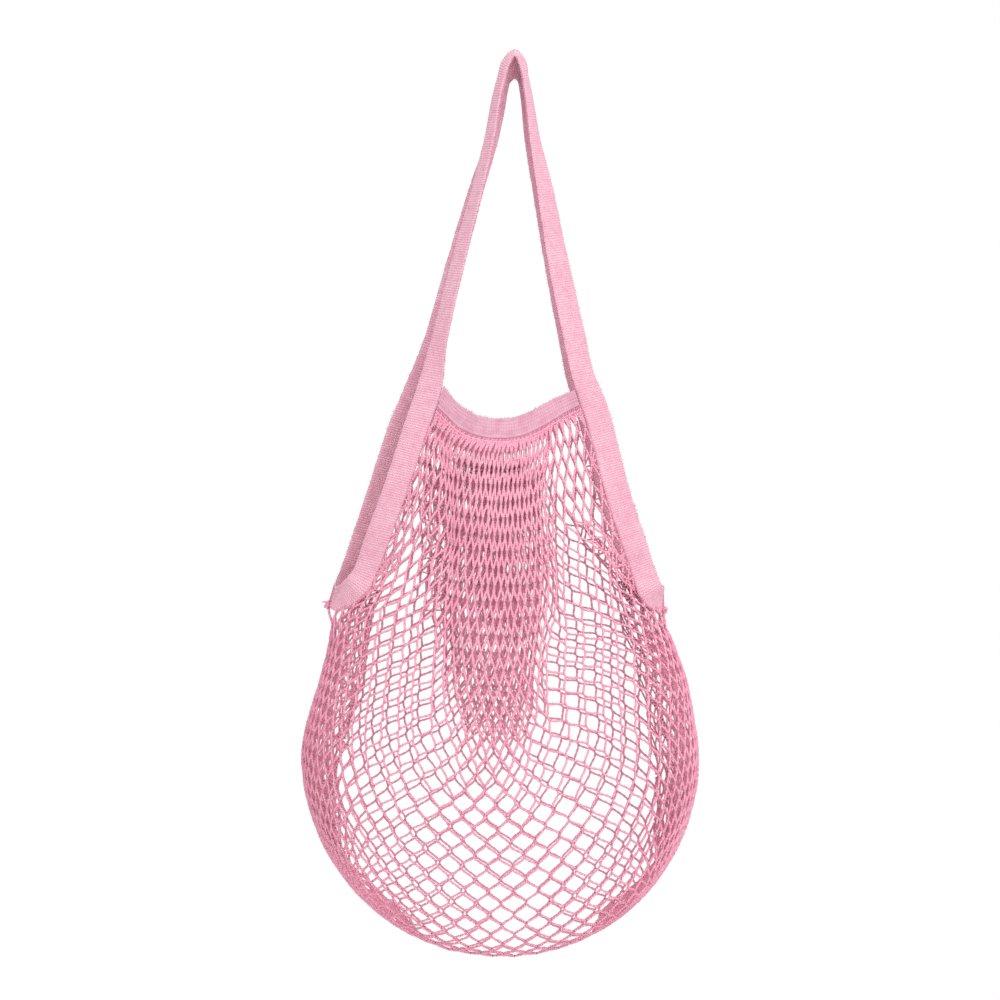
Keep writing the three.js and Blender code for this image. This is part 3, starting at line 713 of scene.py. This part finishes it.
def leg_paths(pairs, knots=P, rings=RINGS):
    a, b = knots[pairs[:, 0]], knots[pairs[:, 1]]
    da, db = down[pairs[:, 0]], down[pairs[:, 1]]
    start, end = a + da * KNOT * 0.8 * (~FX[pairs[:, 0]])[:, None], b - db * KNOT * 0.8
    length = np.linalg.norm(end - start, axis=1, keepdims=True)
    way = unit(end - start)
    m0, m1 = unit(way + 0.55 * da) * length, unit(way + 0.55 * db) * length
    side = unit(np.cross(way, N_out[pairs[:, 0]] + N_out[pairs[:, 1]]))
    bow = rng.normal(0, 0.35, (len(pairs), 1)) * side
    t = np.linspace(0, 1, rings)[None, :, None]
    path = (
        (2 * t**3 - 3 * t**2 + 1) * start[:, None]
        + (t**3 - 2 * t**2 + t) * m0[:, None]
        + (-2 * t**3 + 3 * t**2) * end[:, None]
        + (t**3 - t**2) * m1[:, None]
        + np.sin(math.pi * t) * bow[:, None]
    )
    na, nb = N_out[pairs[:, 0]], N_out[pairs[:, 1]]
    normal = unit(na[:, None] * (1 - t) + nb[:, None] * t)
    # the sack bulges between the knots, so the cord follows its roundness
    turn = np.arccos(np.clip((na * nb).sum(1), -1, 1))[:, None, None]
    path += normal * np.sin(math.pi * t) * turn * length[:, None] / 8
    return path, normal


def sideness(p):
    cx, w, _, _ = section(-1, p[:, 2])
    return np.abs((p[:, 0] - cx) / w)


def shut_share(p):
    """1 in the shut middle of a panel, 0 outside it; the middle narrows downwards."""
    bundle = 22 + 36 * np.clip((p[:, 2] + 650) / 180, 0, 1)
    centre = -15 - 14 * np.clip((p[:, 2] + 650) / 160, 0, 1)
    return np.exp(-(((p[:, 0] - centre) / bundle) ** 4)) * soft_step((p[:, 2] + 650) / 18)


def flank_share(p):
    """1 at the flanks under the vees, 0 outside them."""
    out = (sideness(p) - 0.74 - 0.12 * soft_step((-640 - p[:, 2]) / 30)) / 0.10
    return np.clip(out, 0, 1) * np.clip((-462 - p[:, 2]) / 25, 0, 1) * np.clip((p[:, 2] + 722) / 45, 0, 1)


leg_shut = shut_share(P[legs].mean(1))
# spare net folded in behind itself: the same knots further in, half a mesh aside;
# round its border it runs out into the outer net
sideways = unit(np.cross(N_out, down))
folded = np.maximum(
    np.clip((shut_share(P) - 0.4) / 0.35, 0, 1) * np.clip((P[:, 2] + 605) / 25, 0, 1) * np.clip((-352 - P[:, 2]) / 12, 0, 1),
    flank_share(P),
)[:, None]
folded[FX] = 0
TUCKED = P + folded * (sideways * 4.0 - N_out * np.where(shut_share(P) > 0.3, 4.2, TUCK_IN)[:, None] - np.array([0.0, 0.0, TUCK_DOWN]) + rng.normal(0, 0.9, P.shape))
leg_side = np.sign(S[legs[:, 0]] + S[legs[:, 1]])
leg_z = (P[legs[:, 0], 2] + P[legs[:, 1], 2]) / 2
leg_y = (P[legs[:, 0], 1] + P[legs[:, 1], 1]) / 2
leg_side = np.where(leg_side == 0, np.where(leg_y <= 0, -1, 1), leg_side)


# -------------------------------------------------------------- materials ----
def new_material(name):
    m = bpy.data.materials.new(name)
    m.use_nodes = True
    nodes, links = m.node_tree.nodes, m.node_tree.links
    nodes.clear()
    out = nodes.new("ShaderNodeOutputMaterial")
    bsdf = nodes.new("ShaderNodeBsdfPrincipled")
    links.new(bsdf.outputs["BSDF"], out.inputs["Surface"])
    return m, nodes, links, bsdf


def math_node(nodes, links, op, a, b=None):
    n = nodes.new("ShaderNodeMath")
    n.operation = op
    for k, v in enumerate((a, b)):
        if v is None:
            continue
        if isinstance(v, (int, float)):
            n.inputs[k].default_value = v
        else:
            links.new(v, n.inputs[k])
    return n.outputs[0]


def noise(nodes, links, vector, scale, detail=3.0, rough=0.55):
    n = nodes.new("ShaderNodeTexNoise")
    n.inputs["Scale"].default_value = scale
    n.inputs["Detail"].default_value = detail
    n.inputs["Roughness"].default_value = rough
    links.new(vector, n.inputs["Vector"])
    return n.outputs["Fac"]


def ramp(nodes, links, fac, stops):
    n = nodes.new("ShaderNodeValToRGB")
    e = n.color_ramp.elements
    while len(e) < len(stops):
        e.new(0.5)
    for k, (pos, col) in enumerate(stops):
        e[k].position = pos
        e[k].color = (*col, 1)
    links.new(fac, n.inputs["Fac"])
    return n.outputs["Color"]


def mixed(nodes, links, fac, a, b, mode="MIX"):
    n = nodes.new("ShaderNodeMix")
    n.data_type = "RGBA"
    n.blend_type = mode
    if isinstance(fac, (int, float)):
        n.inputs[0].default_value = fac
    else:
        links.new(fac, n.inputs[0])
    for socket, v in ((n.inputs[6], a), (n.inputs[7], b)):
        if isinstance(v, tuple):
            socket.default_value = (*v, 1)
        else:
            links.new(v, socket)
    return n.outputs[2]


def bumped(nodes, links, bsdf, height, strength, distance):
    n = nodes.new("ShaderNodeBump")
    n.inputs["Strength"].default_value = strength
    n.inputs["Distance"].default_value = distance
    links.new(height, n.inputs["Height"])
    links.new(n.outputs["Normal"], bsdf.inputs["Normal"])


def cord_material():
    """Soft two-ply cotton cord: ply twist and fibre bump, faded and deeper pinks at random, and painted shade in the
    grooves between the plies.
    """
    m, nodes, links, bsdf = new_material("cotton_cord")
    coord = nodes.new("ShaderNodeTexCoord")
    where, run = coord.outputs["Object"], coord.outputs["UV"]
    sep = nodes.new("ShaderNodeSeparateXYZ")
    links.new(run, sep.inputs[0])
    turns = math_node(nodes, links, "ADD", math_node(nodes, links, "MULTIPLY", sep.outputs[0], 4.0), math_node(nodes, links, "MULTIPLY", sep.outputs[1], 2.0))
    ply = math_node(nodes, links, "SINE", math_node(nodes, links, "MULTIPLY", turns, 2 * math.pi))
    ply = math_node(nodes, links, "MULTIPLY_ADD", ply, 0.5)
    ply.node.inputs[2].default_value = 0.5
    fibre = noise(nodes, links, where, 2600.0, 2.0, 0.6)
    broad = noise(nodes, links, where, 22.0, 3.0, 0.5)
    tone = ramp(nodes, links, broad, [(0.32, (0.87, 0.365, 0.495)), (0.5, (0.91, 0.405, 0.535)), (0.7, (0.94, 0.445, 0.57))])
    # painted shade: the colour turns to a darker pink down in the grooves of the ply twist
    painted_groove_shade = mixed(nodes, links, ramp(nodes, links, ply, [(0.0, (0.55, 0.55, 0.55)), (0.45, (0, 0, 0))]), tone, (0.81, 0.29, 0.42))
    col = mixed(nodes, links, ramp(nodes, links, fibre, [(0.5, (0, 0, 0)), (0.75, (0.4, 0.4, 0.4))]), painted_groove_shade, (0.98, 0.51, 0.64))
    links.new(col, bsdf.inputs["Base Color"])
    rough = nodes.new("ShaderNodeMapRange")
    rough.inputs[3].default_value, rough.inputs[4].default_value = 0.82, 1.0
    links.new(fibre, rough.inputs[0])
    links.new(rough.outputs[0], bsdf.inputs["Roughness"])
    bsdf.inputs["Specular IOR Level"].default_value = 0.15
    bsdf.inputs["Sheen Weight"].default_value = 0.08
    bsdf.inputs["Sheen Roughness"].default_value = 0.6
    bsdf.inputs["Sheen Tint"].default_value = (1.0, 0.66, 0.78, 1)
    height = math_node(nodes, links, "ADD", math_node(nodes, links, "MULTIPLY", ply, 0.7), math_node(nodes, links, "MULTIPLY", fibre, 0.5))
    bumped(nodes, links, bsdf, height, 0.8, 0.0003)
    return m


def tape_material(name, band):
    """Knitted tape: courses across it, wales along it, stitches as small vees, fuzz, and painted shade in the stitch
    hollows.
    """
    # painted shade: for the rim band every colour of the tape is multiplied darker, a shaded copy of the strap's tape
    band_painted_shade = lambda c: tuple(a * b for a, b in zip(c, (0.79, 0.72, 0.765))) if band else c
    m, nodes, links, bsdf = new_material(name)
    coord = nodes.new("ShaderNodeTexCoord")
    where, run = coord.outputs["Object"], coord.outputs["UV"]
    sep = nodes.new("ShaderNodeSeparateXYZ")
    links.new(run, sep.inputs[0])
    u, v = sep.outputs[0], sep.outputs[1]      # millimetres along and across
    stray = noise(nodes, links, where, 240.0, 2.0, 0.5)
    wale = math_node(nodes, links, "PINGPONG", math_node(nodes, links, "DIVIDE", v, WALE), 0.5)
    phase = math_node(nodes, links, "ADD", math_node(nodes, links, "DIVIDE", u, COURSE), math_node(nodes, links, "MULTIPLY", wale, 0.76))
    phase = math_node(nodes, links, "ADD", phase, math_node(nodes, links, "MULTIPLY", stray, 0.5))
    course = math_node(nodes, links, "SINE", math_node(nodes, links, "MULTIPLY", phase, 2 * math.pi))
    course = math_node(nodes, links, "MULTIPLY_ADD", course, 0.5)
    course.node.inputs[2].default_value = 0.5
    rib = math_node(nodes, links, "SINE", math_node(nodes, links, "MULTIPLY", wale, math.pi))
    if band:                                   # lengthwise lines show more than stitches
        stitch = math_node(nodes, links, "ADD", math_node(nodes, links, "MULTIPLY", course, 0.4), math_node(nodes, links, "MULTIPLY", rib, 0.6))
    else:
        stitch = math_node(nodes, links, "MULTIPLY", course, math_node(nodes, links, "MULTIPLY_ADD", rib, 0.5))
        stitch.node.inputs[1].links[0].from_node.inputs[2].default_value = 0.5
    fibre = noise(nodes, links, where, 1500.0, 3.0, 0.65)
    patch = noise(nodes, links, where, 150.0, 2.0, 0.55)
    broad = noise(nodes, links, where, 26.0, 3.0, 0.5)
    tone = ramp(nodes, links, broad, [(0.3, band_painted_shade(TONE_DEEP)), (0.5, band_painted_shade(TONE_MIDDLE)), (0.72, band_painted_shade(TONE_PALE))])
    tone = mixed(nodes, links, ramp(nodes, links, patch, [(0.36, (0.75, 0.75, 0.75)), (0.56, (0, 0, 0))]), tone, band_painted_shade(PATCH_DEEP))
    # painted shade: the colour turns darker where the stitch relief is low, in the hollows between the loops
    stitch_shaded = mixed(nodes, links, ramp(nodes, links, stitch, [(0.0, (0.85, 0.85, 0.85)), (0.42, (0, 0, 0))]), tone, band_painted_shade(STITCH_PAINTED_SHADE))
    col = mixed(nodes, links, ramp(nodes, links, fibre, [(0.5, (0, 0, 0)), (0.76, (0.6, 0.6, 0.6))]), stitch_shaded, band_painted_shade(FIBRE_PALE))
    links.new(col, bsdf.inputs["Base Color"])
    rough = nodes.new("ShaderNodeMapRange")
    rough.inputs[3].default_value, rough.inputs[4].default_value = 0.85, 1.0
    links.new(fibre, rough.inputs[0])
    links.new(rough.outputs[0], bsdf.inputs["Roughness"])
    bsdf.inputs["Specular IOR Level"].default_value = 0.12
    bsdf.inputs["Sheen Weight"].default_value = 0.3
    bsdf.inputs["Sheen Roughness"].default_value = 0.6
    bsdf.inputs["Sheen Tint"].default_value = (1.0, 0.74, 0.83, 1)
    height = math_node(nodes, links, "ADD", stitch, math_node(nodes, links, "MULTIPLY", fibre, 0.6))
    height = math_node(nodes, links, "ADD", height, math_node(nodes, links, "MULTIPLY", patch, 0.8))
    bumped(nodes, links, bsdf, height, 1.0, 0.0005)
    return m


TONE_DEEP, TONE_MIDDLE, TONE_PALE = (0.77, 0.405, 0.495), (0.81, 0.46, 0.548), (0.85, 0.515, 0.60)
# STITCH_PAINTED_SHADE is painted shade for the stitch hollows; the patch and fibre colours are the tape's own
PATCH_DEEP, STITCH_PAINTED_SHADE, FIBRE_PALE = (0.74, 0.352, 0.452), (0.61, 0.225, 0.335), (0.96, 0.71, 0.785)
CORD = cord_material()
TAPE = tape_material("knitted_tape", False)
# the band's material is the tape's with its colours darkened as painted shade, and with its own welted knit
BAND = tape_material("knitted_band", True)

# ------------------------------------------------------------ side seams ----
def seam_threads(front, back, hand):
    """The side vee's seam: zigzag thread outside and inside, and its loose ends."""
    pick = (lambda k: k) if hand < 0 else (lambda k: -1 - k)
    turns = 18

    def at(chain, k, share, lift):
        inner, outer = chain
        here, ahead = pick(k), pick(k + 1)
        face = unit(np.cross(outer[here] - inner[here], inner[ahead] + outer[ahead] - inner[here] - outer[here]))
        face = face * np.sign(face[0]) * hand
        return inner[here] * (1 - share) + outer[here] * share + face * lift

    paths = []
    for sense in (1, -1):
        lift, run = sense * (TAPE_THICK / 2 + 0.42), []
        for k in range(turns + 1):
            share = 0.04 + 0.92 * k / turns
            run.append(at(front if k % 2 else back, 4 + int(rng.integers(0, 2)), share, lift))
            if k < turns:
                share += 0.46 / turns
                run.append((at(front, 0, share, lift) + at(back, 0, share, lift)) / 2)
        paths.append(through(run, 4 * (len(run) - 1)))
    normals = np.zeros((2, len(paths[0]), 3))
    normals[..., 0] = hand
    parts = [cords(paths, normals, 0.62, 0.52, 5.0)]
    tip = front[0][pick(0)]
    ends, ends_n = [], []
    for _ in range(16):
        way = unit(np.array([hand * rng.uniform(0.3, 1.0), rng.uniform(-0.5, 0.5), rng.uniform(-0.9, 0.2)]))
        bend = unit(rng.normal(0, 1, 3)) * 0.35
        long = rng.uniform(2.5, 6.0)
        t = np.linspace(0, 1, 8)[:, None]
        start = tip + np.array([0.0, rng.uniform(-1.6, 1.6), rng.uniform(0.3, 6.0)])
        ends.append(start + (way * t + bend * t * t) * long)
        ends_n.append(np.repeat(unit(np.cross(way, [0.3, 1.0, 0.2]))[None], 8, axis=0))
    parts.append(cords(ends, ends_n, 0.85, 0.7, 6.0))
    return parts


EDGES = {side: strap_stations(rows, side, COURSE / 3) for side, rows in ((-1, FRONT_STRAP), (1, BACK_STRAP))}
SEAMS = seam_threads(EDGES[-1], EDGES[1], -1) + seam_threads(EDGES[-1], EDGES[1], 1)

# ------------------------------------------------------------- net pieces ----
knot_side = np.where(S == 0, np.where(P[:, 1] <= 0, -1, 1), S)
counts = {}
SPLIT = -580.0
for side, label in ((-1, "front"), (1, "back")):
    for low, part in ((False, "upper"), (True, "lower")):
        pick = (leg_side == side) & ((leg_z < SPLIT) == low)
        paths, normals = leg_paths(legs[pick])
        swell = (1 + 0.28 * leg_shut[pick] + 0.12 * soft_step((sideness(paths[:, RINGS // 2]) - 0.7) / 0.05))[:, None]
        parts = [cords(paths, normals, CORD_A * swell, CORD_B * swell, CORD_PITCH)]
        behind = legs[pick][folded[legs[pick], 0].min(axis=1) > 0.04]
        inner, inner_n = leg_paths(behind, TUCKED, 6)
        parts.append(cords(inner, inner_n, CORD_A, CORD_B, CORD_PITCH, 5))
        inner_knots = np.unique(behind[folded[behind, 0] > 0.3])
        parts.append(blobs(TUCKED[inner_knots], down[inner_knots], N_out[inner_knots], KNOT * 1.25, 1.22, 5))
        knots = (knot_side == side) & ((P[:, 2] < SPLIT) == low) & ~FX
        parts.append(blobs(P[knots], down[knots], N_out[knots], KNOT * 1.25, 1.22))
        if not low:
            # gathers under the rim: short cords fill in between the first legs
            g = grids[side]
            tops = sorted(i for i, j in g if j == 0)
            fill, fill_n = [], []
            for a, b in zip(tops[:-1], tops[1:]):
                p, q = P[g[a, 0]], P[g[b, 0]]
                to = P[g[a + 1, 1]] if (a + 1, 1) in g else None
                if to is None:
                    continue
                for share in (0.34, 0.66):
                    at = p * (1 - share) + q * share
                    t = np.linspace(0, 1, RINGS)[:, None]
                    fill.append(at * (1 - t) + (to + down[g[a + 1, 1]] * 1.0) * t)
                    fill_n.append(np.repeat(N_out[g[a + 1, 1]][None], RINGS, axis=0))
            for i, near_i in ((0, 1), (2 * NET_COLUMNS, 2 * NET_COLUMNS - 1)):
                for j in range(1, VEE_ROW, 2):
                    p, q, k = P[g[i, j - 1]], P[g[i, j + 1]], g[near_i, j]
                    for share in (0.25, 0.5, 0.75):
                        at = p * (1 - share) + q * share + rng.normal(0, 0.3, 3)
                        t = np.linspace(0, 1, RINGS)[:, None]
                        fill.append(at * (1 - t) + (P[k] + rng.normal(0, 0.5, 3)) * t)
                        fill_n.append(np.repeat(N_out[k][None], RINGS, axis=0))
            parts.append(cords(fill, fill_n, 0.95, 0.8, CORD_PITCH))
        if low and side < 0:
            parts += SEAMS
        points, tris, uv = joined(parts)
        name = f"net_{label}_{part}"
        make_object(name, points, tris, uv, CORD, "net_body")
        counts[name] = len(tris)


# ------------------------------------------------------------ tape pieces ----
def fibres(roots, ways, low, high, thick, sides=3):
    """Short loose fibres that stand off an edge, each a thin closed three-sided spike."""
    count = len(roots)
    long = rng.uniform(low, high, (count, 1))
    bend = unit(rng.normal(0, 1, (count, 3))) * long * 0.35
    t = np.linspace(0, 1, 3)[None, :, None]
    paths = roots[:, None] + (ways * long)[:, None] * t + bend[:, None] * t * t
    normals = np.broadcast_to(unit(np.cross(ways, rng.normal(0, 1, (count, 3))))[:, None], paths.shape)
    radius = thick * np.array([[1.0, 0.8, 0.35]])
    points, tris, uv = cords(paths, normals, radius, radius, 9.0, sides)
    return points, tris, uv * 6.0


def tape(name, inner, outer, thick, node, end_way=None, band=False, columns=15, wobble=0.3, edges=((0, 1.0), (1, 1.0))):
    """Soft knitted tape: courses across it and wales along it stand in relief, its edges
    are uneven and shed short fibres. A band has a raised welt along its inner edge."""
    centre = (inner + outer) / 2
    width = np.linalg.norm(outer - inner, axis=1)
    across = unit(outer - inner)
    ahead = unit(np.gradient(centre, axis=0))
    if end_way is not None:
        ahead[0], ahead[-1] = end_way, -np.array(end_way)
    face = unit(np.cross(across, ahead))
    s = lengths(centre)
    t = np.full(len(s), thick) if band else np.minimum(thick * 1.25, thick * TAPE_WIDTH / np.maximum(width, 1))

    def soft(seed, size):
        at = np.arange(0, s[-1] + 2 * size, size)
        return np.interp(s, at, np.random.default_rng(seed).normal(0, 1, len(at)))

    loop = 0.22 * np.abs(np.cos(math.pi * s / COURSE)) - 0.11
    w_in = -width / 2 + wobble * (0.6 * soft(1, 9.0) + 0.5 * soft(2, 3.0)).clip(-1, 1.3) * 0.8 - loop
    w_out = width / 2 + wobble * (0.6 * soft(3, 9.0) + 0.5 * soft(4, 3.0)).clip(-1.3, 1) * 0.8 + loop
    q = np.linspace(0, 1, columns)
    round_ = np.clip(np.minimum(q, 1 - q) * width.mean() / (thick * 0.55), 0, 1)
    half = np.maximum(np.sqrt(1 - (1 - round_) ** 2), 0.16)     # rounded section
    rows, mm = [], []
    for sense in (1, -1):
        cols = range(columns) if sense > 0 else range(columns - 1, -1, -1)
        for k in cols:
            along_w = w_in * (1 - q[k]) + w_out * q[k]
            h = t / 2 * half[k]
            if band:
                d = q[k] * width                               # distance from the inner edge
                h = h + half[k] * (0.13 * np.cos(2 * math.pi * d / 2.9) + 0.07 * np.cos(2 * math.pi * s / COURSE))
                h = h + 0.62 * np.exp(-(((d - 1.6) / 1.15) ** 2)) - 0.42 * np.exp(-(((d - 4.1) / 0.8) ** 2))
            else:
                wale = 0.5 if k % 2 else 0.0
                h = h + half[k] * (RELIEF * np.cos(2 * math.pi * (s / COURSE + 0.38 * wale * 2)) + (0.09 if k % 2 else -0.09))
            h = np.minimum(h, t * 0.5 + 0.75)
            rows.append(centre + across * along_w[:, None] + face * (sense * h)[:, None])
            mm.append(q[k] * width.mean() + (0 if sense > 0 else 40))
    n, m = len(rows), len(centre)
    points = np.stack(rows, axis=1).reshape(-1, 3)
    tri, where = tube_faces(m, n)
    mm = np.array(mm + [mm[0] + 80])
    uv = np.stack([s[where[..., 0].astype(int)], mm[np.clip(where[..., 1].astype(int), 0, n)]], axis=-1)
    # faces must point out
    a, b, c = (points[tri[:, k]] for k in range(3))
    if (a * np.cross(b, c)).sum() < 0:
        tri, uv = tri[:, ::-1], uv[:, ::-1]
    parts = [(points, tri, uv)]
    for edge, density in edges:
        count = int(s[-1] / FIBRE_STEP * density)
        at = rng.uniform(3, s[-1] - 3, count)
        w = w_out if edge else w_in
        pick = lambda v: np.stack([np.interp(at, s, v[:, k]) for k in range(3)], axis=1)
        way = unit(pick(across)) * (1 if edge else -1)
        root = pick(centre) + unit(pick(across)) * np.interp(at, s, w)[:, None] - way * 0.35
        root += unit(pick(face)) * rng.uniform(-0.6, 0.6, (count, 1))
        lean = unit(way + unit(pick(ahead)) * rng.normal(0, 0.7, (count, 1)) + unit(pick(face)) * rng.normal(0, 0.35, (count, 1)))
        parts.append(fibres(root, lean, 0.9, 2.3, 0.13))
    points, tri, uv = joined(parts)
    counts[name] = len(tri)
    return make_object(name, points, tri, uv, BAND if band else TAPE, node)


for side, label, rim, ends in (
    (-1, "front", FRONT_RIM, FRONT_ENDS),
    (1, "back", BACK_RIM, BACK_ENDS),
):
    inner, outer = EDGES[side]
    tape(f"{label}_strap_knit", inner, outer, TAPE_THICK, f"{label}_strap", (0, side, 0))
    low, high = rim_stations(rim, ends, inner, outer, side, 20)
    tape(f"{label}_rim_knit", low, high, BAND_THICK, f"{label}_rim_band", band=True, columns=23, edges=((1, 1.6),))


# ------------------------------------------------------------------ stage ----
def floor_piece():
    m, nodes, links, bsdf = new_material("pale_floor")
    coord = nodes.new("ShaderNodeTexCoord")
    tone = ramp(nodes, links, noise(nodes, links, coord.outputs["Object"], 3.0, 3.0), [(0.3, (0.955, 0.955, 0.955)), (0.7, (0.975, 0.975, 0.975))])
    links.new(tone, bsdf.inputs["Base Color"])
    bsdf.inputs["Roughness"].default_value = 0.9
    mesh = bpy.data.meshes.new("floor")
    r, z, n = 1.5, -1.15, 96
    turn = [2 * math.pi * k / n for k in range(n)]
    mesh.from_pydata([(r * math.cos(a), r * math.sin(a), z) for a in turn], [], [tuple(range(n))])
    mesh.materials.append(m)
    obj = bpy.data.objects.new("floor", mesh)
    bpy.context.scene.collection.objects.link(obj)
    return obj


floor_piece()
scene = bpy.context.scene
world = bpy.data.worlds.new("studio")
scene.world = world
world.use_nodes = True
world.node_tree.nodes["Background"].inputs["Color"].default_value = (1, 1, 1, 1)
world.node_tree.nodes["Background"].inputs["Strength"].default_value = 1.0
scene.view_settings.view_transform = "Standard"


def area_light(name, place, aim, size, power):
    data = bpy.data.lights.new(name, "AREA")
    data.shape, data.size, data.energy = "DISK", size, power
    obj = bpy.data.objects.new(name, data)
    scene.collection.objects.link(obj)
    obj.location = place
    way = np.array(aim, float) - np.array(place, float)
    from mathutils import Vector

    obj.rotation_euler = Vector(way).to_track_quat("-Z", "Y").to_euler()
    return obj


area_light("key", (0.8, -2.3, 0.45), (0, 0, -0.40), 1.3, 23)
area_light("top", (0.3, -0.4, 1.4), (0, 0, -0.4), 1.2, 9)

camera = bpy.data.cameras.new("camera")
camera.lens, camera.sensor_width = 97.05, 36.0
camera.clip_start, camera.clip_end = 0.05, 50
cam = bpy.data.objects.new("camera", camera)
scene.collection.objects.link(cam)
cam.location = (-0.01335, -2.4, -0.39427)
cam.rotation_euler = (math.radians(90), 0, 0)
scene.camera = cam

print("triangles", counts, "in all", sum(counts.values()))
